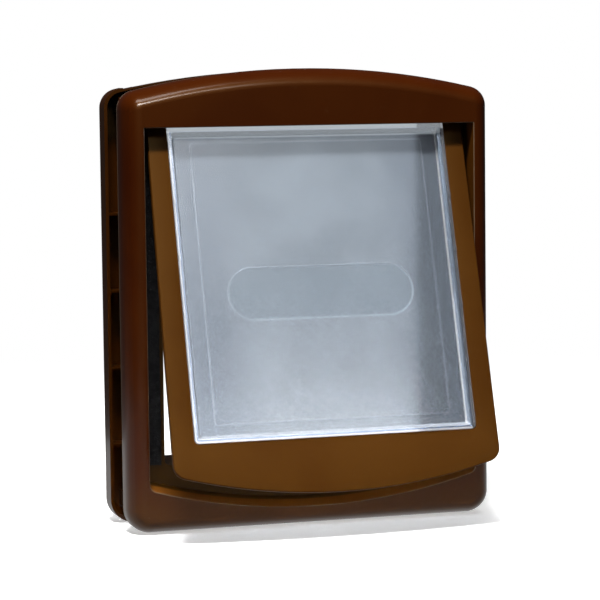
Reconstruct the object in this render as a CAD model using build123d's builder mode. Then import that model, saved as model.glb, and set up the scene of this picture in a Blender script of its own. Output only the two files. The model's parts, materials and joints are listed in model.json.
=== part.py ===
from build123d import *

import os
from math import atan2, cos, radians, sin, tan

os.makedirs("parts", exist_ok=True)

# Dog door for a house door: X to the right, Y into the house, Z up, in millimetres.
# The plane Y = 0 is the outer face of the house door, and both frames stand on Z = 0.

# Both frames
frame_width = 294.0
frame_height = 352.0
shell_wall = 2.5
bottom_corner_radius = 18.0
top_corner_radius = 15.0
door_thickness = 40.0

# Exterior frame, its opening and the recess that the flap closes into
exterior_depth = 26.0
exterior_rise = 18.2
exterior_round_width = 13.0
exterior_round_depth = 18.0
bevel_share = 0.59
exterior_hollow_bevel = 8.0
side_rail = 15.0
head_rail = 43.5
lip_height = 15.5
lip_sag = 19.3
lip_corner_radius = 6.0
opening_edge_bevel = 0.6
recess_floor_rise = 5.0
recess_ceiling_rise = 12.5
flange_thickness = 3.5
flange_width = 17.5

# Tunnel through the house door, in two telescoping sleeves
sill_height = 50.0
hinge_headroom = 4.0
tunnel_corner_radius = 4.0
sleeve_wall = 2.0
sleeve_gap = 0.3
exterior_sleeve_length = 26.0
sleeve_overlap = 12.0

# Interior frame, with the slot that a closing panel drops into
interior_depth = 24.0
interior_rise = 17.0
interior_edge_round = 9.0
interior_hollow_bevel = 5.0
interior_opening_bevel = 1.0
slot_margin = 3.2
slot_thickness = 5.0
slot_wall = 2.0
slot_foot = 6.0
corner_block_width = 15.5
notch_depth = 1.5

# Stiffening ribs in the hollow backs
rib_thickness = 1.6
rib_setback = 2.0
first_rib_height = 61.0
rib_spacing = 60.0
rib_count = 4
cross_rib_spacing = 80.0
cross_rib_count = 3

# Flap panel: a clear tray, shown swung outwards by the open angle
open_angle = 16.5
hinge_rise = 4.5
panel_thickness = 7.0
panel_rear_gap = 0.5
panel_side_gap = 3.5
panel_foot_gap = 16.0
panel_corner_radius = 3.0
panel_rim = 2.5
tray_top = 9.5
tray_depth = 5.5
tray_slope = 3.0
tray_corner_radius = 2.0
field_side_margin = 12.5
field_top_margin = 4.5
field_foot_margin = 8.0
field_height = 0.8
field_corner_radius = 4.0
badge_width = 148.0
badge_height = 40.5
badge_drop = 135.0
badge_depth = 0.6
tongue_width = 2.0
tongue_thickness = 2.0
tongue_drop = 8.0
lug_count = 5
lug_drop = 63.0
lug_foot_margin = 10.0
lug_length = 4.0
lug_height = 0.8
foot_lug_spacing = 124.0

# Soft surround of the flap
seat_gap = 0.2
surround_drop = 4.5
surround_top_gap = 5.4
surround_side_gap = 3.0
surround_foot_gap = 3.5
surround_thickness = 5.0
surround_corner_radius = 8.0
surround_edge_bevel = 1.0

# Hinge pins and bushes
pin_radius = 1.5
pin_reach = 7.0
pin_grip = 15.0
pin_fit = 0.05
bush_radius = 3.5
bush_length = 7.8
bush_fit = 0.05
hinge_block_length = 10.0
hinge_block_height = 14.0

# Magnet in the surround, steel strip in the sill and weather strips beside the tunnel
magnet_width = 60.0
magnet_height = 10.0
magnet_thickness = 2.4
magnet_sill_gap = 1.5
strip_depth = 10.0
strip_thickness = 1.2
strip_setback = 2.0
magnet_gap = 0.15
weather_strip_width = 11.0
weather_strip_thickness = 1.0
weather_strip_margin = 3.0
weather_strip_foot_end = 0.6
weather_strip_top_end = 14.0

# Screws from the room side, threaded inserts and screw caps
screw_side_inset = 18.0
low_screw_height = 17.0
high_screw_drop = 26.5
screw_radius = 2.0
screw_hole_gap = 0.2
screw_grip = 7.0
thread_gap = 0.05
head_radius = 3.8
head_height = 2.3
drive_radius = 1.6
drive_depth = 1.2
pocket_depth = 6.0
cap_width = 8.8
cap_gap = 0.1
insert_radius = 3.4
insert_length = 8.0
insert_recess = 0.5
insert_fit = 0.05
exterior_boss_radius = 5.4
interior_boss_width = 12.0

# The exterior frame's front edge is a bevel that two arcs blend into the front and the sides
round_bevel_width = bevel_share * exterior_round_width
round_bevel_depth = bevel_share * exterior_round_depth
bevel_angle = atan2(round_bevel_depth, round_bevel_width)
front_round = (exterior_round_width - round_bevel_width) / tan(bevel_angle / 2)
side_round = (exterior_round_depth - round_bevel_depth) / tan((radians(90) - bevel_angle) / 2)

# Places that follow from the sizes above
half_width = frame_width / 2
opening_width = frame_width - 2 * side_rail
half_opening = opening_width / 2
opening_top = frame_height - head_rail
bevel_end = -exterior_depth + opening_edge_bevel
flange_face = -flange_thickness
recess_top = opening_top + recess_ceiling_rise
recess_foot = lip_height + recess_floor_rise
hinge_height = opening_top + hinge_rise
hinge_y = -(flange_thickness + panel_rear_gap + panel_thickness / 2)
interior_face = door_thickness
room_face = door_thickness + interior_depth

tunnel_width = opening_width - 2 * flange_width
tunnel_height = hinge_height + hinge_headroom - sill_height
tunnel_middle = sill_height + tunnel_height / 2
sleeve_width = tunnel_width + 2 * sleeve_wall
sleeve_height = tunnel_height + 2 * sleeve_wall
liner_width = sleeve_width + 2 * sleeve_gap
liner_height = sleeve_height + 2 * sleeve_gap
liner_start = exterior_sleeve_length - sleeve_overlap

slot_width = liner_width + 2 * slot_margin
slot_front = room_face - shell_wall - slot_thickness
slot_floor = tunnel_middle - liner_height / 2 - slot_foot

panel_width = tunnel_width - 2 * panel_side_gap
panel_length = hinge_height - sill_height - panel_foot_gap
panel_front = panel_thickness / 2
tray_width = panel_width - 2 * panel_rim
tray_foot = panel_length - panel_rim
tray_floor = panel_front - tray_depth
surround_front = surround_thickness / 2
surround_length = hinge_height - recess_foot - surround_foot_gap
surround_half_top = half_opening - surround_top_gap
surround_half_foot = half_opening - surround_side_gap
surround_sag = lip_sag * (surround_half_foot / half_opening) ** 2
magnet_drop = hinge_height - sill_height - magnet_sill_gap - magnet_height / 2
strip_y = flange_face + strip_setback + strip_depth / 2

weather_strip_x = tunnel_width / 2 + weather_strip_margin + weather_strip_width / 2
weather_strip_foot = sill_height + weather_strip_foot_end
weather_strip_top = recess_top - weather_strip_top_end
rib_heights = [first_rib_height + i * rib_spacing for i in range(rib_count)]
lug_spacing = (panel_length - lug_drop - lug_foot_margin) / (lug_count - 1)
screw_x = half_width - screw_side_inset
high_screw_height = frame_height - high_screw_drop
screw_places = [(x, z) for z in (low_screw_height, high_screw_height) for x in (-screw_x, screw_x)]
head_seat = room_face - pocket_depth
sides = (("left", -1), ("right", 1))


def upright(y):
    """Plane across the doorway at a distance behind the door's outer face, looking outwards."""
    return Plane.XZ.offset(-y)


def flap_plane(front):
    """Plane along the open flap at a distance in front of the hinge axis."""
    lean = radians(open_angle)
    hinge = Plane(
        origin=(0, hinge_y, hinge_height), x_dir=(1, 0, 0), z_dir=(0, -cos(lean), sin(lean))
    )
    return hinge.offset(front)


def frame_face(y, rise, inset=0.0, drop=0.0):
    """Frame outline with an arched top, drawn in by an inset or lowered by a drop."""
    foot = -drop
    apex = frame_height - drop
    spring = apex - rise
    with BuildSketch(upright(y)) as face:
        with BuildLine():
            Polyline(
                (half_width, spring), (half_width, foot), (-half_width, foot), (-half_width, spring)
            )
            ThreePointArc((-half_width, spring), (0, apex), (half_width, spring))
        make_face()
        fillet(face.vertices().group_by(Axis.Y)[-1], top_corner_radius)
        fillet(face.vertices().group_by(Axis.Y)[0], bottom_corner_radius)
        if inset:
            offset(amount=-inset)
    return face.sketch


def opening_face(y, top, lip, grow=0.0):
    """Opening with a straight head and a sagging lower lip, grown all round by a wall."""
    half = half_opening + grow
    side_foot = lip + lip_sag - grow
    with BuildSketch(upright(y)) as face:
        with BuildLine():
            Polyline((half, side_foot), (half, top + grow), (-half, top + grow), (-half, side_foot))
            ThreePointArc((-half, side_foot), (0, lip - grow), (half, side_foot))
        make_face()
        fillet(face.vertices().group_by(Axis.Y)[0], lip_corner_radius + grow)
    return face.sketch


def tunnel_face(y, grow):
    """Tunnel section at a distance behind the door's outer face, grown all round by a wall."""
    with BuildSketch(upright(y)) as face:
        with Locations((0, tunnel_middle)):
            RectangleRounded(
                tunnel_width + 2 * grow, tunnel_height + 2 * grow, tunnel_corner_radius + grow
            )
    return face.sketch


def screw_faces(y, radius):
    """Discs on the four screw axes."""
    with BuildSketch(upright(y)) as face:
        with Locations(*screw_places):
            Circle(radius)
    return face.sketch


def hexagon_faces(y, radius):
    """Hexagons on the four screw axes, measured over their corners."""
    with BuildSketch(upright(y)) as face:
        with Locations(*screw_places):
            RegularPolygon(radius, 6)
    return face.sketch


def square_faces(y, width):
    """Squares on the four screw axes."""
    with BuildSketch(upright(y)) as face:
        with Locations(*screw_places):
            Rectangle(width, width)
    return face.sketch


def rib_faces(y):
    """Level ribs for the side rails and upright ribs for the head and the foot."""
    with BuildSketch(upright(y)) as face:
        with Locations(*[(0, z) for z in rib_heights]):
            Rectangle(frame_width, rib_thickness)
        with GridLocations(cross_rib_spacing, 1, cross_rib_count, 1):
            Rectangle(rib_thickness, 2 * frame_height)
    return face.sketch


def recess_form(grow=0.0):
    """Room of the recess, whose floor and ceiling rise from the opening back to the flange."""
    return loft(
        [
            opening_face(bevel_end, opening_top, lip_height, grow),
            opening_face(flange_face, recess_top, recess_foot, grow),
        ]
    )


def opening_bevel_form():
    """Funnel that bevels the front edge of the opening."""
    return loft(
        [
            opening_face(-exterior_depth, opening_top, lip_height, opening_edge_bevel),
            opening_face(bevel_end, opening_top, lip_height),
        ]
    )


def hinge_blocks():
    """Blocks that carry the bushes, one at each end of the hinge."""
    with BuildPart() as blocks:
        with BuildSketch(Plane.YZ.offset(half_opening)):
            with Locations((hinge_y, hinge_height)):
                Rectangle(-2 * hinge_y, hinge_block_height)
        extrude(amount=hinge_block_length)
        mirror(about=Plane.YZ)
    return blocks.part


def hinge_bores(radius, near, length, open_back=False):
    """Bores on the hinge axis, one at each end, which can open to the back as channels."""
    with BuildPart() as bores:
        with BuildSketch(Plane.YZ.offset(near)):
            with Locations((hinge_y, hinge_height)):
                Circle(radius)
            if open_back:
                with Locations((hinge_y / 2, hinge_height)):
                    Rectangle(-hinge_y, 2 * radius)
        extrude(amount=length)
        mirror(about=Plane.YZ)
    return bores.part


def flap_face(front, width, drop, foot, radius):
    """Rounded face along the flap between two distances below the hinge axis."""
    with BuildSketch(flap_plane(front)) as face:
        with Locations((0, -(drop + foot) / 2)):
            RectangleRounded(width, foot - drop, radius)
    return face.sketch


def surround_face(front):
    """Full outline of the surround, with its sagging foot."""
    foot = -(surround_length - surround_sag)
    with BuildSketch(flap_plane(front)) as face:
        with BuildLine():
            Polyline(
                (surround_half_foot, foot),
                (surround_half_top, -surround_drop),
                (-surround_half_top, -surround_drop),
                (-surround_half_foot, foot),
            )
            ThreePointArc(
                (-surround_half_foot, foot), (0, -surround_length), (surround_half_foot, foot)
            )
        make_face()
        fillet(face.vertices().group_by(Axis.Y)[0], surround_corner_radius)
    return face.sketch


# Hollow of the exterior frame, which leaves its walls, bosses, ribs and hinge blocks
with BuildPart() as exterior_hollow:
    extrude(frame_face(0, exterior_rise, shell_wall), amount=exterior_depth - shell_wall)
    chamfer(exterior_hollow.faces().sort_by(Axis.Y)[0].edges(), exterior_hollow_bevel)
    add(recess_form(shell_wall), mode=Mode.SUBTRACT)
    extrude(
        opening_face(0, recess_top, recess_foot, shell_wall),
        amount=flange_thickness,
        mode=Mode.SUBTRACT,
    )
    extrude(hexagon_faces(0, exterior_boss_radius), amount=exterior_depth, mode=Mode.SUBTRACT)
    extrude(rib_faces(-rib_setback), amount=exterior_depth, mode=Mode.SUBTRACT)
    add(hinge_blocks(), mode=Mode.SUBTRACT)

# Exterior frame: one brown moulding with the recess, the flange and the tunnel's outer sleeve
with BuildPart() as exterior_frame:
    extrude(frame_face(0, exterior_rise), amount=exterior_depth)
    front = exterior_frame.faces().sort_by(Axis.Y)[0]
    chamfer(front.edges(), round_bevel_width, round_bevel_depth, reference=front)
    fillet(exterior_frame.edges().group_by(Axis.Y)[2], side_round)
    fillet(exterior_frame.edges().group_by(Axis.Y)[0], front_round)
    add(exterior_hollow.part, mode=Mode.SUBTRACT)
    add(recess_form(), mode=Mode.SUBTRACT)
    add(opening_bevel_form(), mode=Mode.SUBTRACT)
    extrude(tunnel_face(exterior_sleeve_length, sleeve_wall), amount=exterior_sleeve_length)
    extrude(
        tunnel_face(exterior_sleeve_length, 0),
        amount=exterior_sleeve_length + flange_thickness,
        mode=Mode.SUBTRACT,
    )
    add(
        hinge_bores(bush_radius + bush_fit, half_opening, bush_length + bush_fit, open_back=True),
        mode=Mode.SUBTRACT,
    )
    extrude(
        hexagon_faces(0, insert_radius + insert_fit),
        amount=insert_recess + insert_length,
        mode=Mode.SUBTRACT,
    )
    with BuildSketch(Plane.XY.offset(sill_height)):
        with Locations((0, strip_y)):
            Rectangle(magnet_width + 2 * magnet_gap, strip_depth + 2 * magnet_gap)
    extrude(amount=-strip_thickness, mode=Mode.SUBTRACT)
exterior_frame.part.label = "exterior_frame"
export_step(exterior_frame.part, "parts/exterior_frame.step")

# Hollow of the interior frame, which leaves a block that the slot is cut from
with BuildPart() as interior_hollow:
    extrude(
        frame_face(interior_face, interior_rise, shell_wall), amount=-(interior_depth - shell_wall)
    )
    chamfer(interior_hollow.faces().sort_by(Axis.Y)[-1].edges(), interior_hollow_bevel)
    extrude(
        tunnel_face(interior_face, 2 * sleeve_wall + sleeve_gap),
        amount=-interior_depth,
        mode=Mode.SUBTRACT,
    )
    with BuildSketch(upright(slot_front - slot_wall)):
        with Locations((0, slot_floor - slot_wall)):
            Rectangle(slot_width + 2 * slot_wall, frame_height, align=(Align.CENTER, Align.MIN))
    extrude(amount=-interior_depth, mode=Mode.SUBTRACT)
    extrude(
        square_faces(interior_face, interior_boss_width),
        amount=-interior_depth,
        mode=Mode.SUBTRACT,
    )
    extrude(rib_faces(interior_face + rib_setback), amount=-interior_depth, mode=Mode.SUBTRACT)

# Interior frame: one brown moulding with the liner that slides over the outer sleeve
with BuildPart() as interior_frame:
    extrude(frame_face(interior_face, interior_rise), amount=-interior_depth)
    fillet(interior_frame.faces().sort_by(Axis.Y)[-1].edges(), interior_edge_round)
    add(interior_hollow.part, mode=Mode.SUBTRACT)
    extrude(
        tunnel_face(liner_start, 2 * sleeve_wall + sleeve_gap), amount=-(interior_face - liner_start)
    )
    extrude(
        tunnel_face(liner_start, sleeve_wall + sleeve_gap),
        amount=-(room_face - liner_start),
        mode=Mode.SUBTRACT,
    )
    room_opening = interior_frame.faces().sort_by(Axis.Y)[-1].inner_wires()[0].edges()
    chamfer(room_opening, interior_opening_bevel)
    with BuildSketch(upright(slot_front)):
        with Locations((0, slot_floor)):
            Rectangle(slot_width, frame_height, align=(Align.CENTER, Align.MIN))
    extrude(amount=-slot_thickness, mode=Mode.SUBTRACT)
    with BuildSketch(upright(interior_face)):
        with Locations((0, frame_height)):
            Rectangle(frame_width - 2 * corner_block_width, 2 * interior_rise)
    notch = extrude(amount=-interior_depth, mode=Mode.PRIVATE)
    notch -= extrude(
        frame_face(interior_face, interior_rise, drop=notch_depth),
        amount=-interior_depth,
        mode=Mode.PRIVATE,
    )
    add(notch, mode=Mode.SUBTRACT)
    extrude(
        screw_faces(interior_face, screw_radius + screw_hole_gap),
        amount=-interior_depth,
        mode=Mode.SUBTRACT,
    )
    extrude(
        square_faces(head_seat, cap_width + 2 * cap_gap),
        amount=-pocket_depth,
        mode=Mode.SUBTRACT,
    )
interior_frame.part.label = "interior_frame"
export_step(interior_frame.part, "parts/interior_frame.step")

# Flap panel: clear tray with a knuckle along its top and a tongue that holds the surround
with BuildPart() as flap_panel:
    extrude(
        flap_face(panel_front, panel_width, 0, panel_length, panel_corner_radius),
        amount=-panel_thickness,
    )
    with BuildSketch(Plane.YZ.offset(-panel_width / 2)):
        with Locations((hinge_y, hinge_height)):
            Circle(panel_thickness / 2)
    extrude(amount=panel_width)
    extrude(
        flap_face(
            tongue_thickness / 2,
            panel_width + 2 * tongue_width,
            tongue_drop,
            panel_length + tongue_width,
            panel_corner_radius + tongue_width,
        ),
        amount=-tongue_thickness,
    )
    tray_mouth = flap_face(panel_front, tray_width, tray_top, tray_foot, tray_corner_radius)
    tray_bed = flap_face(
        tray_floor,
        tray_width - 2 * tray_slope,
        tray_top + tray_slope,
        tray_foot - tray_slope,
        tray_corner_radius,
    )
    loft([tray_mouth, tray_bed], mode=Mode.SUBTRACT)
    extrude(
        flap_face(
            tray_floor,
            tray_width - 2 * (tray_slope + field_side_margin),
            tray_top + tray_slope + field_top_margin,
            tray_foot - tray_slope - field_foot_margin,
            field_corner_radius,
        ),
        amount=field_height,
    )
    with BuildSketch(flap_plane(tray_floor + field_height)):
        with Locations((0, -badge_drop)):
            SlotOverall(badge_width, badge_height)
    extrude(amount=-badge_depth, mode=Mode.SUBTRACT)
    with BuildSketch(flap_plane(panel_front)):
        with Locations((0, -(lug_drop + panel_length - lug_foot_margin) / 2)):
            with GridLocations(panel_width - panel_rim, lug_spacing, 2, lug_count):
                Rectangle(panel_rim, lug_length)
        with Locations((0, -(panel_length - panel_rim / 2))):
            with GridLocations(foot_lug_spacing, 1, 2, 1):
                Rectangle(lug_length, panel_rim)
    extrude(amount=lug_height)
    add(
        hinge_bores(pin_radius + pin_fit, panel_width / 2 - pin_grip, pin_grip), mode=Mode.SUBTRACT
    )
flap_panel.part.label = "flap_panel"
export_step(flap_panel.part, "parts/flap_panel.step")

# Soft surround of the flap, grooved for the panel's tongue and pocketed for the magnet
with BuildPart() as flap_surround:
    extrude(surround_face(surround_front), amount=-surround_thickness)
    chamfer(
        flap_surround.faces().sort_by(Axis((0, 0, 0), flap_plane(0).z_dir))[-1].edges(),
        surround_edge_bevel,
    )
    extrude(
        flap_face(
            surround_front,
            panel_width + 2 * seat_gap,
            -surround_drop,
            panel_length + seat_gap,
            panel_corner_radius + seat_gap,
        ),
        amount=-surround_thickness,
        mode=Mode.SUBTRACT,
    )
    extrude(
        flap_face(
            tongue_thickness / 2 + seat_gap,
            panel_width + 2 * (tongue_width + seat_gap),
            -surround_drop,
            panel_length + tongue_width + seat_gap,
            panel_corner_radius + tongue_width + seat_gap,
        ),
        amount=-(tongue_thickness + 2 * seat_gap),
        mode=Mode.SUBTRACT,
    )
    with BuildSketch(flap_plane(-surround_front)):
        with Locations((0, -magnet_drop)):
            Rectangle(magnet_width + 2 * magnet_gap, magnet_height + 2 * magnet_gap)
    extrude(amount=magnet_thickness, mode=Mode.SUBTRACT)
flap_surround.part.label = "flap_surround"
export_step(flap_surround.part, "parts/flap_surround.step")

# Magnet, flush with the back of the surround
with BuildPart() as flap_magnet:
    with BuildSketch(flap_plane(-surround_front)):
        with Locations((0, -magnet_drop)):
            Rectangle(magnet_width, magnet_height)
    extrude(amount=magnet_thickness)
flap_magnet.part.label = "flap_magnet"
export_step(flap_magnet.part, "parts/flap_magnet.step")

# Steel strip that draws the magnet, flush with the sill
with BuildPart() as closing_strip:
    with BuildSketch(Plane.XY.offset(sill_height)):
        with Locations((0, strip_y)):
            Rectangle(magnet_width, strip_depth)
    extrude(amount=-strip_thickness)
closing_strip.part.label = "closing_strip"
export_step(closing_strip.part, "parts/closing_strip.step")

for side, direction in sides:
    # Pin that is gripped by the flap panel and turns in the bush
    with BuildPart() as hinge_pin:
        with BuildSketch(Plane.YZ.offset(direction * (panel_width / 2 - pin_grip))):
            with Locations((hinge_y, hinge_height)):
                Circle(pin_radius)
        extrude(amount=direction * (pin_grip + half_opening - panel_width / 2 + pin_reach))
    hinge_pin.part.label = f"hinge_pin_{side}"
    export_step(hinge_pin.part, f"parts/hinge_pin_{side}.step")

    # Bush in the hinge block, flush with the side of the opening
    with BuildPart() as hinge_bush:
        with BuildSketch(Plane.YZ.offset(direction * half_opening)):
            with Locations((hinge_y, hinge_height)):
                Circle(bush_radius)
                Circle(pin_radius + pin_fit, mode=Mode.SUBTRACT)
        extrude(amount=direction * bush_length)
    hinge_bush.part.label = f"hinge_bush_{side}"
    export_step(hinge_bush.part, f"parts/hinge_bush_{side}.step")

    # Black pile strip on the flange beside the tunnel
    with BuildPart() as weather_strip:
        with BuildSketch(upright(flange_face)):
            with Locations((direction * weather_strip_x, weather_strip_foot)):
                Rectangle(
                    weather_strip_width,
                    weather_strip_top - weather_strip_foot,
                    align=(Align.CENTER, Align.MIN),
                )
        extrude(amount=weather_strip_thickness)
    weather_strip.part.label = f"weather_strip_{side}"
    export_step(weather_strip.part, f"parts/weather_strip_{side}.step")

for number, (x, z) in enumerate(screw_places, 1):
    # Hexagonal brass insert pressed into the back of the exterior frame
    with BuildPart() as threaded_insert:
        with BuildSketch(upright(-insert_recess)):
            with Locations((x, z)):
                RegularPolygon(insert_radius, 6)
                Circle(screw_radius + thread_gap, mode=Mode.SUBTRACT)
        extrude(amount=insert_length)
    threaded_insert.part.label = f"threaded_insert_{number}"
    export_step(threaded_insert.part, f"parts/threaded_insert_{number}.step")

    # Long screw from the room side, with a hexagonal socket
    with BuildPart() as frame_screw:
        with BuildSketch(upright(head_seat)):
            with Locations((x, z)):
                Circle(screw_radius)
        extrude(amount=head_seat + insert_recess + screw_grip)
        with BuildSketch(upright(head_seat)):
            with Locations((x, z)):
                Circle(head_radius)
        extrude(amount=-head_height)
        with BuildSketch(upright(head_seat + head_height)):
            with Locations((x, z)):
                RegularPolygon(drive_radius, 6)
        extrude(amount=drive_depth, mode=Mode.SUBTRACT)
    frame_screw.part.label = f"frame_screw_{number}"
    export_step(frame_screw.part, f"parts/frame_screw_{number}.step")

    # Square cap that plugs the screw's pocket, flush with the room side
    with BuildPart() as screw_cap:
        with BuildSketch(upright(room_face)):
            with Locations((x, z)):
                Rectangle(cap_width, cap_width)
        extrude(amount=pocket_depth - head_height - cap_gap)
    screw_cap.part.label = f"screw_cap_{number}"
    export_step(screw_cap.part, f"parts/screw_cap_{number}.step")
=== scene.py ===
import json
import math
import bmesh
import bpy
from mathutils import Matrix, Vector


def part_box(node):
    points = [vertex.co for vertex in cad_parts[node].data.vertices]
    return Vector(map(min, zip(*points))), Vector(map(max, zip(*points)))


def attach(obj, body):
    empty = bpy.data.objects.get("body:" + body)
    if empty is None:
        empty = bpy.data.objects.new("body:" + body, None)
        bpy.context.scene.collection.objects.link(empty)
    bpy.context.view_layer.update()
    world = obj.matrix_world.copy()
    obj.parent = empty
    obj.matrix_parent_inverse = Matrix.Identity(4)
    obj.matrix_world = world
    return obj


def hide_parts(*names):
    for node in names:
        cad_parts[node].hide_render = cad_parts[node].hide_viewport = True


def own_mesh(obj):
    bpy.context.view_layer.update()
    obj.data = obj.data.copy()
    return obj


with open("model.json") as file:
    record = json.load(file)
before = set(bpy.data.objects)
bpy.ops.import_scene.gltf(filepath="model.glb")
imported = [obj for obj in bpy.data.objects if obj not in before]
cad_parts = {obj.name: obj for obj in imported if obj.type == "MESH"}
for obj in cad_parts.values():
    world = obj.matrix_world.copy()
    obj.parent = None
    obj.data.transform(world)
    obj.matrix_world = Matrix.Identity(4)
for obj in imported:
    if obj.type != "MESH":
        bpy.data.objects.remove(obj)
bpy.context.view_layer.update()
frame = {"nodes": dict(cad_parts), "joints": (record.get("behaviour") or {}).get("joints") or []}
print("frame loaded,", len(frame["nodes"]), "nodes")

flapHinge = tuple(frame["joints"][0]["pos_m"])  # the flap's sizes run down from here
flapLean = math.radians(16.5)  # how far the flap is swung outwards at rest
hair = 0.00001  # less than any step between points
black = (0.0, 0.0, 0.0)


class Socket:  # a node's output that can be added, multiplied and so on
    def __init__(self, finish, output):
        self.finish = finish
        self.output = output

    def combine(self, operation, first, second):
        return self.finish.node("ShaderNodeMath", {"operation": operation}, {0: first, 1: second})

    def __add__(self, other):
        return self.combine("ADD", self, other)

    def __sub__(self, other):
        return self.combine("SUBTRACT", self, other)

    def __rsub__(self, other):
        return self.combine("SUBTRACT", other, self)

    def __mul__(self, other):
        return self.combine("MULTIPLY", self, other)

    def __pow__(self, other):
        return self.combine("POWER", self, other)

    __radd__ = __add__
    __rmul__ = __mul__


class Finish:  # the nodes of one material, or of the world
    def __init__(self, owner):
        owner.use_nodes = True
        self.owner = owner
        self.tree = owner.node_tree
        self.tree.nodes.clear()

    def node(self, kind, settings, sockets, out=0):
        made = self.tree.nodes.new(kind)
        for key, value in settings.items():
            setattr(made, key, value)
        for key, value in sockets.items():
            if isinstance(value, Socket):
                self.tree.links.new(value.output, made.inputs[key])
            else:
                made.inputs[key].default_value = value
        return Socket(self, made.outputs[out]) if made.outputs else None

    def place(self, scale=(1.0, 1.0, 1.0)):
        own = self.node("ShaderNodeTexCoord", {}, {}, out="Object")
        return self.node("ShaderNodeMapping", {}, {"Vector": own, "Scale": scale})

    def split(self, where):
        return [self.node("ShaderNodeSeparateXYZ", {}, {0: where}, out=axis) for axis in "XYZ"]

    def alongFlap(self):  # sideways from the flap's middle, and down from its hinge
        own = self.node("ShaderNodeTexCoord", {}, {}, out="Object")
        sockets = {"Vector": own, "Location": flapHinge, "Rotation": (-flapLean, 0.0, 0.0)}
        leaning = self.node("ShaderNodeMapping", {"vector_type": "TEXTURE"}, sockets)
        sideways, _, upward = self.split(leaning)
        return sideways, upward * -1.0

    def noise(self, where, scale, detail=3.0, rough=0.55, twist=0.0):
        sockets = {"Vector": where, "Scale": scale, "Detail": detail, "Roughness": rough, "Distortion": twist}
        return self.node("ShaderNodeTexNoise", {}, sockets)

    def band(self, value, low, high):  # 0 below low, 1 above high
        settings = {"interpolation_type": "SMOOTHSTEP"}
        return self.node("ShaderNodeMapRange", settings, {0: value, 1: low, 2: high, 3: 0.0, 4: 1.0})

    def between(self, value, low, lowEnd, high, highEnd):  # 1 from lowEnd to high, 0 outside low and highEnd
        return self.band(value, low, lowEnd) * (1 - self.band(value, high, highEnd))

    def mix(self, share, first, second):
        sockets = {0: share, 6: self.full(first), 7: self.full(second)}
        return self.node("ShaderNodeMix", {"data_type": "RGBA"}, sockets, out=2)

    def full(self, colour):
        return colour if isinstance(colour, Socket) else (*colour, 1.0)

    def size(self, value):
        return self.node("ShaderNodeMath", {"operation": "ABSOLUTE"}, {0: value})

    def most(self, first, second):
        return self.node("ShaderNodeMath", {"operation": "MAXIMUM"}, {0: first, 1: second})

    def bump(self, height, strength, distance, under=None):
        sockets = {"Strength": strength, "Distance": distance, "Height": height}
        if under is not None:
            sockets["Normal"] = under
        return self.node("ShaderNodeBump", {}, sockets)

    def surface(self, sockets):
        shader = self.node("ShaderNodeBsdfPrincipled", {}, sockets)
        self.node("ShaderNodeOutputMaterial", {}, {"Surface": shader})
        return self.owner


mouldedMarks = {  # what the moulded plastics share; heights are in metres
    "flowEdges": (0.35, 0.65), "waveHeight": 0.004, "grainHeight": 0.0002, "glossDrift": 0.06,
    "dustEdges": (0.60, 0.78), "dustShare": 0.06, "dustDull": 0.06, "dustOnCoat": 0.5,
}
framePlastic = {  # glossy brown
    **mouldedMarks,
    "deep": (0.031, 0.0044, 0.0001), "light": (0.038, 0.0064, 0.0002), "dust": (0.12, 0.08, 0.05),
    "dustScale": 120.0, "flowScale": 9.0, "waviness": 0.05, "grainScale": 2400.0, "grain": 0.05,
    "streakScale": 26.0, "streakStretch": (1.0, 1.0, 0.25), "streakShare": 0.05, "gloss": 0.36,
    "ior": 1.49, "specular": 0.17, "sheen": (1.0, 0.55, 0.16), "coat": 0.32, "coatGloss": 0.15,
}
roomPlastic = {**framePlastic, "deep": (0.025, 0.0060, 0.0003), "light": (0.031, 0.0080, 0.0005)}
surroundPlastic = {  # satin and flexible
    **mouldedMarks,
    "deep": (0.056, 0.0190, 0.0026), "light": (0.066, 0.0240, 0.0036), "dust": (0.16, 0.10, 0.06),
    "dustScale": 150.0, "flowScale": 12.0, "waviness": 0.04, "grainScale": 1500.0, "grain": 0.10,
    "streakScale": 40.0, "streakStretch": (1.0, 1.0, 0.3), "streakShare": 0.07, "gloss": 0.42,
    "ior": 1.47, "specular": 0.05, "sheen": (1.0, 0.62, 0.25), "coat": 0.0, "coatGloss": 0.22,
}
frameOpeningLight = {  # metres; where the exterior frame's moulding gets painted light and shade round its opening
    "half": 0.1334, "foot": 0.0138, "head": 0.3108, "edge": 0.0002, "outerSide": (0.1450, 0.1455),
    "outerHead": (0.330, 0.331), "lipHeight": (0.036, 0.044), "lowHeight": (0.004, 0.055),
    "wallDepth": (-0.0258, -0.0254, -0.012, -0.009), "arrisDepth": (-0.02598, -0.0259, -0.0255, -0.0253),
    "recessDepth": (-0.012, -0.010, 0.030, 0.036), "rearDepth": (-0.0022, -0.0016, 0.0004, 0.0008),
    # painted light and shade: lit inner walls and lip, highlight lines on the arris and the rear edge, a
    # shaded recess with less coat, and light near the foot
    "inner": (0.070, 0.022, 0.0022), "lip": (0.125, 0.041, 0.0045), "arrisHighlight": (0.12, 0.078, 0.048),
    "recess": (0.020, 0.0085, 0.0012), "rearHighlight": (0.13, 0.09, 0.065), "low": (0.052, 0.0175, 0.0032),
    "lowLightShare": 0.9, "recessDulled": 0.75,
}


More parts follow.
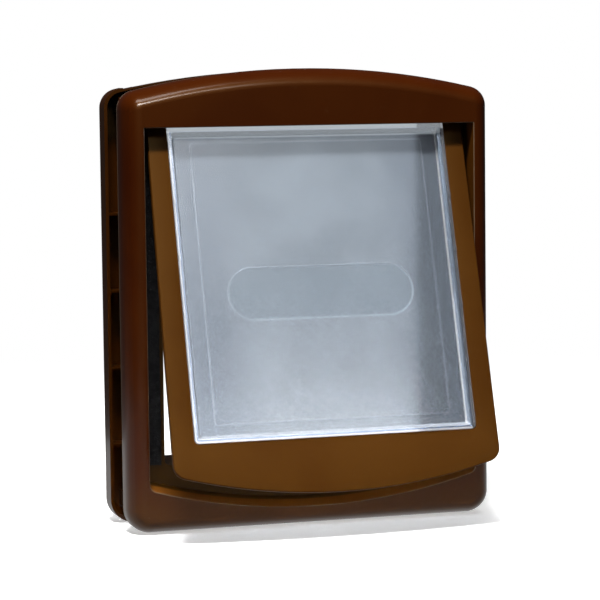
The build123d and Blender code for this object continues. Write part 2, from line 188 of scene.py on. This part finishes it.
def paintOpeningLight(finish, tone, look):  # paints light and shade round the opening; returns the tone, and how much of the coat is left
    sideways, depth, height = finish.split(finish.place())
    across = finish.size(sideways)
    within = 1 - finish.band(across, look["half"], look["half"] + look["edge"])
    within = within * finish.band(height, look["foot"] - look["edge"], look["foot"])
    within = within * (1 - finish.band(height, look["head"], look["head"] + look["edge"]))
    wall = within * finish.between(depth, *look["wallDepth"])
    arrisHighlight = within * finish.between(depth, *look["arrisDepth"])
    recess = within * finish.between(depth, *look["recessDepth"])
    outer = finish.most(finish.band(across, *look["outerSide"]), finish.band(height, *look["outerHead"]))
    rearHighlight = outer * finish.between(depth, *look["rearDepth"])
    low = (1 - finish.band(height, *look["lowHeight"])) * look["lowLightShare"]
    # painted light on the inner walls, and more of it on the lip
    paintedWallLight = finish.mix(finish.band(height, *look["lipHeight"]), look["lip"], look["inner"])
    tone = finish.mix(wall, tone, paintedWallLight)
    # painted highlight along the opening's front edge
    tone = finish.mix(arrisHighlight, tone, look["arrisHighlight"])
    # painted light near the foot
    tone = finish.mix(low * (1 - within), tone, look["low"])
    tone = finish.mix(low * within * (1 - wall) * (1 - recess) * (1 - arrisHighlight), tone, look["low"])
    # painted shade in the recess
    tone = finish.mix(recess, tone, look["recess"])
    # painted highlight along the outer rear edge; the recess also loses most of its coat
    return finish.mix(rearHighlight, tone, look["rearHighlight"]), 1 - recess * look["recessDulled"]


def mouldedBrown(name, look, openingLight=None):  # with faint flow marks, streaks, grain and a little dust, and with painted light and shade round the opening where that is given
    finish = Finish(bpy.data.materials.new(name))
    flow = finish.noise(finish.place(), look["flowScale"], detail=3.0, rough=0.5, twist=0.6)
    streak = finish.noise(finish.place(look["streakStretch"]), look["streakScale"], detail=4.0, rough=0.6)
    grain = finish.noise(finish.place(), look["grainScale"], detail=2.0, rough=0.5)
    specks = finish.noise(finish.place(), look["dustScale"], detail=6.0, rough=0.7)
    dust = finish.band(specks, *look["dustEdges"])
    tone = finish.mix(finish.band(flow, *look["flowEdges"]), look["deep"], look["light"])
    coat = look["coat"]
    # painted light and shade round the opening
    if openingLight is not None:
        tone, coatLeft = paintOpeningLight(finish, tone, openingLight)
        coat = coatLeft * coat
    drift = (flow - 0.5) * look["glossDrift"]
    waves = finish.bump(flow, look["waviness"], look["waveHeight"])
    return finish.surface({
        "Base Color": finish.mix(dust * look["dustShare"], tone, look["dust"]),
        "Roughness": look["gloss"] + drift + streak * look["streakShare"] + dust * look["dustDull"],
        "Normal": finish.bump(grain, look["grain"], look["grainHeight"], waves),
        "IOR": look["ior"],
        "Specular IOR Level": look["specular"],
        "Specular Tint": (*look["sheen"], 1.0),
        "Coat Weight": (1 - dust * look["dustOnCoat"]) * coat,
        "Coat Roughness": look["coatGloss"],
    })


brownGloss = mouldedBrown("brownMoulding", framePlastic, frameOpeningLight)
brownRoom = mouldedBrown("brownRoomSide", roomPlastic)
brownSatin = mouldedBrown("brownSurround", surroundPlastic)

clearPanel = {  # metres across the flap, and down along it from the hinge
    "rimHalf": 0.1085, "rimTop": 0.0095, "rimFoot": 0.2445, "rimEdge": 0.0005,
    "fieldHalf": 0.093, "fieldTop": 0.017, "fieldFoot": 0.2335, "fieldLine": 0.0007, "fieldShare": 0.5,
    "badgeHalf": 0.074, "badgeRound": 0.02025, "badgeDrop": 0.135, "badgeEdge": (-0.0002, 0.0003),
    "badgeLine": 0.0006, "badgeShare": 0.7, "lineShare": 0.7,
    "tint": (0.335, 0.38, 0.43), "shade": (0.28, 0.32, 0.365), "badge": (0.27, 0.32, 0.37),
    # line is a painted highlight along the field's and the badge's edges; sides is painted shade towards both
    # sides; foot is painted light towards the foot
    "line": (0.62, 0.68, 0.76), "sides": (0.21, 0.245, 0.30), "foot": (0.385, 0.42, 0.465),
    "sideShadeFade": (0.035, 0.106), "sideShadeShare": 0.6, "footLightFade": (0.13, 0.2445), "footLightShare": 0.8,
    "cloudScale": 14.0, "cloudEdges": (0.35, 0.65), "smearScale": 30.0, "smearStretch": (1.0, 1.0, 0.2),
    "grainScale": 900.0, "grain": 0.04, "grainHeight": 0.0002, "gloss": 0.22, "glossDrift": 0.10,
    # glow is the strength of the painted glow along the panel's head
    "through": 0.72, "specular": 0.15, "ior": 1.46, "glow": 0.16,
}
panelWalls = {  # the tray's sloped walls, as the places where each painted tone starts: painted light on the walls, a painted light band, a painted shade band and a painted glint on the right wall, and a painted glow along the head
    "start": (-0.0034, -0.0028), "brightStart": (0.1053, 0.1057), "darkStart": (0.1071, 0.1077),
    "light": (0.72, 0.78, 0.85), "bright": (0.44, 0.54, 0.68), "paintedRightShade": (0.15, 0.19, 0.25),
    "glint": 0.1056, "glintEdge": (0.0003, 0.0008), "glintShare": 0.8, "glintTone": (0.93, 0.90, 0.88),
    "headEnd": (0.0130, 0.0138), "paintedHeadGlow": (0.50, 0.54, 0.56),
}
panelRim = {  # the clear rim round the tray, with a painted highlight on its outer part, painted light along its head, painted shade on its right side, and a painted glow along its head
    "whiteStart": (0.0010, 0.0015), "headEnd": (0.0085, 0.0095), "rightStart": (0.1080, 0.1088),
    "glowEnd": (0.0095, 0.0105), "light": (0.34, 0.42, 0.58), "deep": (0.28, 0.36, 0.52),
    "rimHighlight": (0.93, 0.90, 0.88), "head": (0.42, 0.46, 0.48), "right": (0.17, 0.17, 0.18),
    "paintedHeadGlow": (0.90, 0.95, 1.0), "gloss": 0.06, "smear": 0.06, "through": 0.7,
}


def outsideOf(finish, half, top, foot):  # metres outside a rectangle on the flap, below 0 within it
    sideways, down = finish.alongFlap()
    return finish.most(finish.size(sideways) - half, finish.most(top - down, down - foot))


def panelTonesAndPaintedLight(finish, look, walls):  # the tray with its field, its pill-shaped badge and its walls, with painted light towards the foot, painted shade towards the sides, painted highlight lines along the field's and the badge's edges, and painted light, shade and a glint on its walls
    sideways, down = finish.alongFlap()
    across = finish.size(sideways)
    cloud = finish.noise(finish.place(), look["cloudScale"], detail=4.0, rough=0.55, twist=0.4)
    past = finish.most(across - (look["badgeHalf"] - look["badgeRound"]), 0.0)
    fromBadge = down - look["badgeDrop"]
    badgeEdge = (past * past + fromBadge * fromBadge) ** 0.5 - look["badgeRound"]
    badge = 1 - finish.band(badgeEdge, *look["badgeEdge"])
    badgeLine = 1 - finish.band(finish.size(badgeEdge), 0.0, look["badgeLine"])
    fieldEdge = outsideOf(finish, look["fieldHalf"], look["fieldTop"], look["fieldFoot"])
    fieldLine = 1 - finish.band(finish.size(fieldEdge), 0.0, look["fieldLine"])
    paintedEdgeLines = finish.most(badgeLine * look["lineShare"], fieldLine * look["fieldShare"])
    mouthEdge = outsideOf(finish, look["rimHalf"], look["rimTop"], look["rimFoot"])
    glint = 1 - finish.band(finish.size(sideways - walls["glint"]), *walls["glintEdge"])
    tone = finish.mix(finish.band(cloud, *look["cloudEdges"]), look["shade"], look["tint"])
    # painted light towards the foot
    tone = finish.mix(finish.band(down, *look["footLightFade"]) * look["footLightShare"], tone, look["foot"])
    # painted shade towards both sides
    tone = finish.mix(finish.band(across, *look["sideShadeFade"]) * look["sideShadeShare"], tone, look["sides"])
    tone = finish.mix(badge * look["badgeShare"], tone, look["badge"])
    # painted highlight lines along the field's and the badge's edges
    tone = finish.mix(paintedEdgeLines, tone, look["line"])
    # painted light on the walls, then a painted light band, a painted shade band and a painted glint line on
    # the right wall
    tone = finish.mix(finish.band(mouthEdge, *walls["start"]), tone, walls["light"])
    tone = finish.mix(finish.band(sideways, *walls["brightStart"]), tone, walls["bright"])
    tone = finish.mix(finish.band(sideways, *walls["darkStart"]), tone, walls["paintedRightShade"])
    return finish.mix(glint * walls["glintShare"], tone, walls["glintTone"])


# random smears, with a painted highlight on the outer part of the rim, painted light along its head and
# painted shade on its right side
def rimTonesAndPaintedLight(finish, rim, smear, mouthEdge):
    sideways, down = finish.alongFlap()
    tone = finish.mix(smear, rim["light"], rim["deep"])
    tone = finish.mix(finish.band(mouthEdge, *rim["whiteStart"]), tone, rim["rimHighlight"])
    tone = finish.mix(1 - finish.band(down, *rim["headEnd"]), tone, rim["head"])
    return finish.mix(finish.band(sideways, *rim["rightStart"]), tone, rim["right"])


def paintedHeadGlow(finish, ends, glow):  # a painted glow along the clear plastic's upper edge
    _, down = finish.alongFlap()
    return finish.mix(1 - finish.band(down, *ends), black, glow)


def frostedClear(name, look, walls, rim):
    finish = Finish(bpy.data.materials.new(name))
    fine = finish.noise(finish.place(), look["grainScale"], detail=2.0, rough=0.5)
    smear = finish.noise(finish.place(look["smearStretch"]), look["smearScale"], detail=4.0, rough=0.6)
    mouthEdge = outsideOf(finish, look["rimHalf"], look["rimTop"], look["rimFoot"])
    frost = finish.node("ShaderNodeBsdfPrincipled", {}, {
        "Base Color": panelTonesAndPaintedLight(finish, look, walls),
        "Roughness": look["gloss"] + (smear - 0.5) * look["glossDrift"],
        "Normal": finish.bump(fine, look["grain"], look["grainHeight"]),
        "IOR": look["ior"],
        "Specular IOR Level": look["specular"],
        "Transmission Weight": look["through"],
        # painted glow along the tray's head wall
        "Emission Color": paintedHeadGlow(finish, walls["headEnd"], walls["paintedHeadGlow"]),
        "Emission Strength": look["glow"],
    })
    clear = finish.node("ShaderNodeBsdfPrincipled", {}, {
        "Base Color": rimTonesAndPaintedLight(finish, rim, smear, mouthEdge),
        "Roughness": rim["gloss"] + smear * rim["smear"],
        "IOR": look["ior"],
        "Transmission Weight": rim["through"],
        # painted glow along the rim's head
        "Emission Color": paintedHeadGlow(finish, rim["glowEnd"], rim["paintedHeadGlow"]),
        "Emission Strength": look["glow"],
    })
    onRim = finish.band(mouthEdge, -look["rimEdge"], look["rimEdge"])
    both = finish.node("ShaderNodeMixShader", {}, {0: onRim, 1: frost, 2: clear})
    finish.node("ShaderNodeOutputMaterial", {}, {"Surface": both})
    return finish.owner


frosted = frostedClear("frostedClear", clearPanel, panelWalls, panelRim)


metalMarks = {  # what the metals share
    "stainScale": 160.0, "stainEdges": (0.45, 0.75), "stainDull": 0.10,
    "brushDull": 0.12, "brushHeight": 0.0002,
}


def metal(name, look, marks=metalMarks):
    finish = Finish(bpy.data.materials.new(name))
    brushed = finish.noise(finish.place(look["stretch"]), look["scale"], detail=4.0, rough=0.6)
    stain = finish.band(finish.noise(finish.place(), marks["stainScale"], detail=4.0), *marks["stainEdges"])
    tone = finish.mix(brushed, look["deep"], look["light"])
    return finish.surface({
        "Base Color": finish.mix(stain * look["stainShare"], tone, look["stain"]),
        "Roughness": look["gloss"] + brushed * marks["brushDull"] + stain * marks["stainDull"],
        "Metallic": 1.0,
        "Normal": finish.bump(brushed, look["brush"], marks["brushHeight"]),
    })


groundSteel = metal("groundSteel", {
    "deep": (0.42, 0.42, 0.43), "light": (0.62, 0.62, 0.63), "stain": (0.30, 0.27, 0.24), "stainShare": 0.35,
    "stretch": (0.05, 1.0, 1.0), "scale": 1800.0, "gloss": 0.22, "brush": 0.25,
})
zincPlate = metal("zincPlate", {
    "deep": (0.50, 0.50, 0.50), "light": (0.68, 0.68, 0.66), "stain": (0.42, 0.40, 0.30), "stainShare": 0.4,
    "stretch": (1.0, 1.0, 1.0), "scale": 700.0, "gloss": 0.30, "brush": 0.10,
})
brassPlain = metal("turnedBrass", {
    "deep": (0.55, 0.38, 0.14), "light": (0.74, 0.55, 0.24), "stain": (0.30, 0.18, 0.07), "stainShare": 0.3,
    "stretch": (1.0, 0.1, 1.0), "scale": 1500.0, "gloss": 0.28, "brush": 0.15,
})


mattMarks = {"cloudShare": 0.1, "cloudEdges": (0.3, 0.7), "glossDrift": 0.2, "grainHeight": 0.0003}


def matt(name, look, marks=mattMarks):
    finish = Finish(bpy.data.materials.new(name))
    cloud = finish.noise(finish.place(), look["scale"] * marks["cloudShare"])
    fine = finish.noise(finish.place(), look["scale"], rough=0.6)
    return finish.surface({
        "Base Color": finish.mix(finish.band(cloud, *marks["cloudEdges"]), look["deep"], look["light"]),
        "Roughness": look["gloss"] + (fine - 0.5) * marks["glossDrift"],
        "Specular IOR Level": look["specular"],
        "Normal": finish.bump(fine, look["grain"], marks["grainHeight"]),
    })


nylon = matt("bushNylon", {
    "deep": (0.60, 0.58, 0.50), "light": (0.70, 0.69, 0.62),
    "scale": 900.0, "gloss": 0.48, "grain": 0.15, "specular": 0.5,
})
rubberMagnet = matt("stripMagnet", {
    "deep": (0.020, 0.020, 0.022), "light": (0.035, 0.035, 0.038),
    "scale": 1200.0, "gloss": 0.62, "grain": 0.3, "specular": 0.4,
})
pileBlack = matt("blackPile", {
    "deep": (0.005, 0.005, 0.0055), "light": (0.012, 0.012, 0.0125),
    "scale": 2600.0, "gloss": 0.85, "grain": 0.8, "specular": 0.05,
})
finishes = {  # the start of a node's name, and its finish
    "exterior_frame": brownGloss, "interior_frame": brownRoom, "screw_cap": brownRoom,
    "flap_surround": brownSatin, "flap_panel": frosted, "flap_magnet": rubberMagnet,
    "closing_strip": groundSteel, "hinge_pin": groundSteel, "hinge_bush": nylon,
    "weather_strip": pileBlack, "threaded_insert": brassPlain, "frame_screw": zincPlate,
}
for name, node in frame["nodes"].items():
    node.data.materials.clear()
    node.data.materials.append(next(finishes[start] for start in finishes if name.startswith(start)))
print("finishes on the nodes")


def pick(piece, kind, test):  # selects the points, edges or faces whose middle passes the test
    bpy.ops.mesh.select_mode(type=kind)
    bpy.ops.mesh.select_all(action="DESELECT")
    shape = bmesh.from_edit_mesh(piece.data)
    for part in {"VERT": shape.verts, "EDGE": shape.edges, "FACE": shape.faces}[kind]:
        if kind == "VERT":
            middle = part.co
        elif kind == "EDGE":
            middle = (part.verts[0].co + part.verts[1].co) / 2
        else:
            middle = part.calc_center_median()
        if test(middle):
            part.select = True
    shape.select_flush_mode()
    bmesh.update_edit_mesh(piece.data)


def choose(*pieces):
    bpy.ops.object.select_all(action="DESELECT")
    for piece in pieces:
        piece.select_set(True)
    bpy.context.view_layer.objects.active = pieces[0]


def applyModifiers(piece):
    choose(piece)
    for modifier in list(piece.modifiers):
        bpy.ops.object.modifier_apply(modifier=modifier.name)


softRim = {  # metres across, and down along the flap from the hinge
    "top": 0.0045, "halfTop": 0.1266, "halfFoot": 0.1290, "foot": 0.2890, "sag": 0.01843, "corner": 0.008,
    "innerHalf": 0.1112, "innerFoot": 0.2472, "innerCorner": 0.0032,
    "sideCuts": 9, "footCuts": 27, "cornerCuts": 7, "thickness": 0.005,
    "edgeRound": 0.0010, "edgeSteps": 4, "edgeAngle": 50, "smoothAngle": 40,
    "slotHalf": 0.1132, "slotTop": -0.01, "slotFoot": 0.2492, "slotThickness": 0.0024,
    "magnetWidth": 0.0603, "magnetHeight": 0.0103, "magnetDrop": 0.2565, "magnetDepth": 0.0024,
    "squashFrom": 0.076, "stepLength": 0.004, "keeps": (0.14, 0.22, 0.40, 0.61, 0.80, 0.93),
}


def rimOutline(look, halfTop, halfFoot, foot, sag, corner):  # an open line down both sides and along the foot
    sideFoot = foot - sag
    mostly = 0.9
    middle = 0.001
    bpy.ops.object.select_all(action="DESELECT")
    bpy.ops.mesh.primitive_plane_add(size=1.0, rotation=(math.pi / 2, 0.0, 0.0))
    bpy.ops.object.transform_apply(location=True, rotation=True, scale=True)
    line = bpy.context.object
    bpy.ops.object.mode_set(mode="EDIT")
    bpy.ops.mesh.select_all(action="SELECT")
    size = (2 * halfFoot, 1.0, sideFoot - look["top"])
    bpy.ops.transform.resize(value=size, center_override=(0.0, 0.0, 0.0))
    bpy.ops.transform.translate(value=(0.0, 0.0, -(sideFoot + look["top"]) / 2))
    pick(line, "VERT", lambda at: at.z > -foot / 2)
    bpy.ops.transform.resize(value=(halfTop / halfFoot, 1.0, 1.0), center_override=(0.0, 0.0, -look["top"]))
    pick(line, "VERT", lambda at: at.z < -foot / 2)
    bpy.ops.mesh.bevel(offset=corner, segments=look["cornerCuts"], affect="VERTICES")
    pick(line, "FACE", lambda at: True)
    bpy.ops.mesh.delete(type="ONLY_FACE")
    pick(line, "EDGE", lambda at: abs(at.x) < middle and at.z > -foot / 2)
    bpy.ops.mesh.delete(type="EDGE")
    pick(line, "EDGE", lambda at: abs(at.x) > halfTop * mostly and at.z > -sideFoot / 2 - corner)
    bpy.ops.mesh.subdivide(number_cuts=look["sideCuts"])
    pick(line, "EDGE", lambda at: abs(at.x) < middle and at.z < -sideFoot * mostly)
    bpy.ops.mesh.subdivide(number_cuts=look["footCuts"])
    shape = bmesh.from_edit_mesh(line.data)
    for point in shape.verts:  # the foot and its corners sag in one curve
        if point.co.z < corner - sideFoot - hair:
            point.co.z -= sag * (1 - (point.co.x / halfFoot) ** 2)
    bmesh.update_edit_mesh(line.data)
    bpy.ops.object.mode_set(mode="OBJECT")
    return line


def cutBox(piece, place, size):  # takes a box-shaped pocket out of a piece
    bpy.ops.object.select_all(action="DESELECT")
    bpy.ops.mesh.primitive_cube_add(size=1.0, location=place)
    tool = bpy.context.object
    bpy.ops.transform.resize(value=size)
    bpy.ops.object.transform_apply(location=True, rotation=True, scale=True)
    cut = piece.modifiers.new("pocket", "BOOLEAN")
    cut.object = tool
    cut.operation = "DIFFERENCE"
    cut.solver = "EXACT"
    applyModifiers(piece)
    bpy.data.objects.remove(tool, do_unlink=True)


def rimSheet(look):  # the space between the outer and the inner line, with its thickness and round edges
    half = look["innerHalf"]
    rim = rimOutline(look, look["halfTop"], look["halfFoot"], look["foot"], look["sag"], look["corner"])
    inner = rimOutline(look, half, half, look["innerFoot"], 0.0, look["innerCorner"])
    choose(rim, inner)
    bpy.ops.object.join()
    rim.name = "softRim"
    bpy.ops.object.mode_set(mode="EDIT")
    bpy.ops.mesh.select_mode(type="EDGE")
    bpy.ops.mesh.select_all(action="SELECT")
    bpy.ops.mesh.bridge_edge_loops()
    bpy.ops.mesh.select_all(action="SELECT")
    bpy.ops.mesh.normals_make_consistent(inside=False)
    bpy.ops.object.mode_set(mode="OBJECT")
    wall = rim.modifiers.new("wall", "SOLIDIFY")
    wall.thickness = look["thickness"]
    wall.offset = 0.0
    soften = rim.modifiers.new("soften", "BEVEL")
    soften.width = look["edgeRound"]
    soften.segments = look["edgeSteps"]
    soften.limit_method = "ANGLE"
    soften.angle_limit = math.radians(look["edgeAngle"])
    applyModifiers(rim)
    return rim


def splitSides(rim, look):  # returns each piece, with its keep and its side
    cuts = [look["squashFrom"] + step * look["stepLength"] for step in range(len(look["keeps"]))]
    bpy.ops.object.mode_set(mode="EDIT")
    for cut in cuts:
        bpy.ops.mesh.select_all(action="SELECT")
        bpy.ops.mesh.bisect(plane_co=(0.0, 0.0, -cut), plane_no=(0.0, 0.0, 1.0))
    bpy.ops.object.mode_set(mode="OBJECT")
    pieces = [(rim, None, 0)]
    for side, word in ((-1, "Left"), (1, "Right")):
        for step, keep in enumerate(look["keeps"]):
            high = 1.0 if step == 0 else -cuts[step - 1]
            choose(rim)
            bpy.ops.object.mode_set(mode="EDIT")
            pick(rim, "FACE", lambda at: at.x * side > 0 and -cuts[step] < at.z < high)
            bpy.ops.mesh.separate(type="SELECTED")
            bpy.ops.object.mode_set(mode="OBJECT")
            part = next(found for found in bpy.context.selected_objects if found != rim)
            part.name = "softRim" + word + str(step + 1)
            pieces.append((part, keep, side))
    return pieces


def closeOnFlap(part, look):  # closes a piece, and leans it with the flap
    choose(part)
    bpy.ops.object.mode_set(mode="EDIT")
    bpy.ops.mesh.select_all(action="SELECT")
    bpy.ops.mesh.fill_holes(sides=0)
    bpy.ops.mesh.select_all(action="SELECT")
    bpy.ops.mesh.normals_make_consistent(inside=False)
    bpy.ops.object.mode_set(mode="OBJECT")
    bpy.ops.object.shade_smooth_by_angle(angle=math.radians(look["smoothAngle"]))
    part.rotation_euler = (-flapLean, 0.0, 0.0)
    part.location = flapHinge
    bpy.ops.object.transform_apply(location=True, rotation=True, scale=True)


def buildSoftRim(look, finish):
    rim = rimSheet(look)
    cutBox(rim, (0.0, 0.0, -(look["slotFoot"] + look["slotTop"]) / 2),
           (2 * look["slotHalf"], look["slotThickness"], look["slotFoot"] - look["slotTop"]))
    cutBox(rim, (0.0, look["thickness"] / 2, -look["magnetDrop"]),
           (look["magnetWidth"], 2 * look["magnetDepth"], look["magnetHeight"]))
    rim.data.materials.clear()
    rim.data.materials.append(finish)
    for part, keep, side in splitSides(rim, look):
        closeOnFlap(part, look)
        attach(part, "flap")
        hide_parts("flap_surround")
        if keep is not None:
            anchor = (side * look["innerHalf"], 0.0, 0.0)
            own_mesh(part)


buildSoftRim(softRim, brownSatin)
print("soft rim built")

pileStrip = {
    "backing": 0.0005, "height": 0.0012, "across": 22, "along": 512, "inset": 0.0002,
    "ruffle": 0.00035, "evenness": 0.6,
}


def buildPile(node, look, finish, seed):  # short upright pile on a woven backing
    low, high = (Vector(corner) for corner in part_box(node))
    width, tall = high.x - low.x - 2 * look["inset"], high.z - low.z - 2 * look["inset"]
    bpy.ops.object.select_all(action="DESELECT")
    bpy.ops.mesh.primitive_grid_add(
        x_subdivisions=look["across"], y_subdivisions=look["along"], size=1.0,
        rotation=(math.pi / 2, 0.0, 0.0))
    bpy.ops.object.transform_apply(location=True, rotation=True, scale=True)
    strip = bpy.context.object
    strip.name = node + "Pile"
    bpy.ops.object.mode_set(mode="EDIT")
    bpy.ops.mesh.select_all(action="SELECT")
    bpy.ops.transform.resize(value=(width, 1.0, tall), center_override=(0.0, 0.0, 0.0))
    middle = ((low.x + high.x) / 2, high.y - look["backing"], (low.z + high.z) / 2)
    bpy.ops.transform.translate(value=middle)
    bpy.ops.mesh.extrude_region_move(TRANSFORM_OT_translate={"value": (0.0, -look["height"], 0.0)})
    bpy.ops.transform.vertex_random(offset=look["ruffle"], uniform=look["evenness"], normal=0.0, seed=seed)
    pick(strip, "EDGE", lambda at: at.y > high.y - look["backing"] - hair)
    bpy.ops.mesh.extrude_edges_move(TRANSFORM_OT_translate={"value": (0.0, look["backing"], 0.0)})
    bpy.ops.mesh.fill_holes(sides=0)
    bpy.ops.mesh.select_all(action="SELECT")
    bpy.ops.mesh.normals_make_consistent(inside=False)
    bpy.ops.object.mode_set(mode="OBJECT")
    strip.data.materials.append(finish)
    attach(strip, "frames")
    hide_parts(node)


buildPile("weather_strip_left", pileStrip, pileBlack, 3)
buildPile("weather_strip_right", pileStrip, pileBlack, 8)
print("pile strips built")

lamps = {  # place, size, watts, aim, spread in degrees, lights the shade or the shine
    "keyLamp": ((-0.45, -0.93, 2.12), (0.50, 0.18), 84.0, (0.0, 0.0, 0.18), 180.0, "shade"),
    "fillLamp": ((-1.7, -2.2, 1.1), (1.0, 1.0), 1.5, (0.0, 0.0, 0.18), 180.0, "shade"),
    "floorLamp": ((0.0, -0.3, 2.6), (2.0, 1.6), 20.0, (0.0, 0.0, 0.0), 180.0, "shade"),
    "lowLamp": ((-0.35, -1.30, 0.10), (0.5, 0.1), 0.32, (0.0, 0.0, -0.03), 26.0, "shade"),
    "sideLamp": ((-1.3, -0.45, 0.22), (0.16, 0.42), 1.4, (-0.1, 0.0, 0.12), 180.0, "shade"),
    "backLamp": ((0.9, 2.2, 1.3), (1.2, 1.2), 26.0, (0.0, 0.0, 0.18), 180.0, "shade"),
    "floorCard": ((0.0, -0.15, -0.002), (1.7, 1.3), 5.2, (0.0, -0.15, 1.0), 180.0, "shine"),
    "sheenLamp": ((-0.45, -0.98, 2.08), (1.3, 0.8), 42.0, (0.0, 0.0, 0.33), 180.0, "shine"),
    "glintLamp": ((-0.345, -1.90, 1.46), (1.12, 0.30), 72.0, (-0.1, -0.03, 0.33), 180.0, "shine"),
    "trailLamp": ((0.325, -1.85, 1.49), (0.27, 0.30), 2.6, (-0.1, -0.03, 0.33), 180.0, "shine"),
}


def softLight(name, place, size, watts, aim, spread, part):
    data = bpy.data.lights.new(name, "AREA")
    data.shape = "RECTANGLE"
    data.size, data.size_y = size
    data.energy = watts
    data.spread = math.radians(spread)
    lamp = bpy.data.objects.new(name, data)
    bpy.context.scene.collection.objects.link(lamp)
    lamp.location = place
    lamp.rotation_euler = (Vector(aim) - Vector(place)).to_track_quat("-Z", "Y").to_euler()
    lamp.visible_camera = False
    lamp.visible_glossy = part == "shine"
    lamp.visible_diffuse = part == "shade"


for name, lamp in lamps.items():
    softLight(name, *lamp)

sky = {"bright": 1.0, "dim": 0.03}  # bright to look at, also through the flap, and dim as a light


def paleSky(look):
    world = bpy.data.worlds.new("studio")
    bpy.context.scene.world = world
    finish = Finish(world)
    straight = finish.node("ShaderNodeLightPath", {}, {}, out="Is Camera Ray")
    through = finish.node("ShaderNodeLightPath", {}, {}, out="Is Transmission Ray")
    strength = finish.most(straight, through) * (look["bright"] - look["dim"]) + look["dim"]
    sockets = {"Color": (1.0, 1.0, 1.0, 1.0), "Strength": strength}
    background = finish.node("ShaderNodeBackground", {}, sockets)
    finish.node("ShaderNodeOutputWorld", {}, {"Surface": background})
    bpy.context.scene.view_settings.view_transform = "Standard"


floor = {
    "radius": 1.3, "sides": 96, "drop": 0.0004, "fade": (0.55, 1.2), "glow": 0.45, "roughness": 0.9,
    "speckleScale": 60.0, "deep": (0.90, 0.90, 0.90), "light": (0.94, 0.94, 0.935),
}


def paleFloor(look):
    bpy.ops.object.select_all(action="DESELECT")
    bpy.ops.mesh.primitive_circle_add(
        vertices=look["sides"], radius=look["radius"], fill_type="NGON", location=(0.0, 0.0, -look["drop"]))
    ground = bpy.context.object
    ground.name = "paleFloor"
    finish = Finish(bpy.data.materials.new("paleFloor"))
    speckle = finish.noise(finish.place(), look["speckleScale"], detail=4.0)
    reach = finish.node("ShaderNodeVectorMath", {"operation": "LENGTH"}, {0: finish.place()}, out=1)
    ground.data.materials.append(finish.surface({
        "Base Color": finish.mix(speckle, look["deep"], look["light"]),
        "Roughness": look["roughness"],
        "Specular IOR Level": 0.0,
        "Emission Color": (1.0, 1.0, 1.0, 1.0),
        "Emission Strength": look["glow"],
        "Alpha": 1 - finish.band(reach, *look["fade"]),
    }))
    ground.visible_glossy = False  # floorCard stands for it in reflections
    ground.visible_diffuse = False  # so that its own light doesn't fill the shadows


paleSky(sky)
paleFloor(floor)

view = {  # angles in degrees, focal length and frame in pixels, sensor in millimetres, the rest in metres
    "azimuth": -17.70, "elevation": 5.08, "roll": -0.65, "focal": 2552.0, "frame": 600.0, "sensor": 36.0,
    "distance": 1.983, "aside": -0.00301, "above": -0.00335, "aim": (0.0, 0.0, 0.176),
}


def placeCamera(look):
    turn, rise, roll = (math.radians(look[key]) for key in ("azimuth", "elevation", "roll"))
    ahead = Vector((math.sin(-turn) * math.cos(rise), math.cos(turn) * math.cos(rise), -math.sin(rise)))
    level = ahead.cross(Vector((0.0, 0.0, 1.0))).normalized()
    upright = level.cross(ahead)
    right = math.cos(roll) * level + math.sin(roll) * upright
    up = math.cos(roll) * upright - math.sin(roll) * level
    data = bpy.data.cameras.new("camera")
    data.sensor_width = look["sensor"]
    data.lens = look["focal"] / look["frame"] * look["sensor"]
    camera = bpy.data.objects.new("camera", data)
    bpy.context.scene.collection.objects.link(camera)
    spot = Vector(look["aim"]) - look["distance"] * ahead + look["aside"] * right + look["above"] * up
    axes = Matrix((right, up, -ahead)).transposed()
    camera.matrix_world = Matrix.Translation(spot) @ axes.to_4x4()
    bpy.context.scene.camera = camera


placeCamera(view)
print("camera and lights in place")
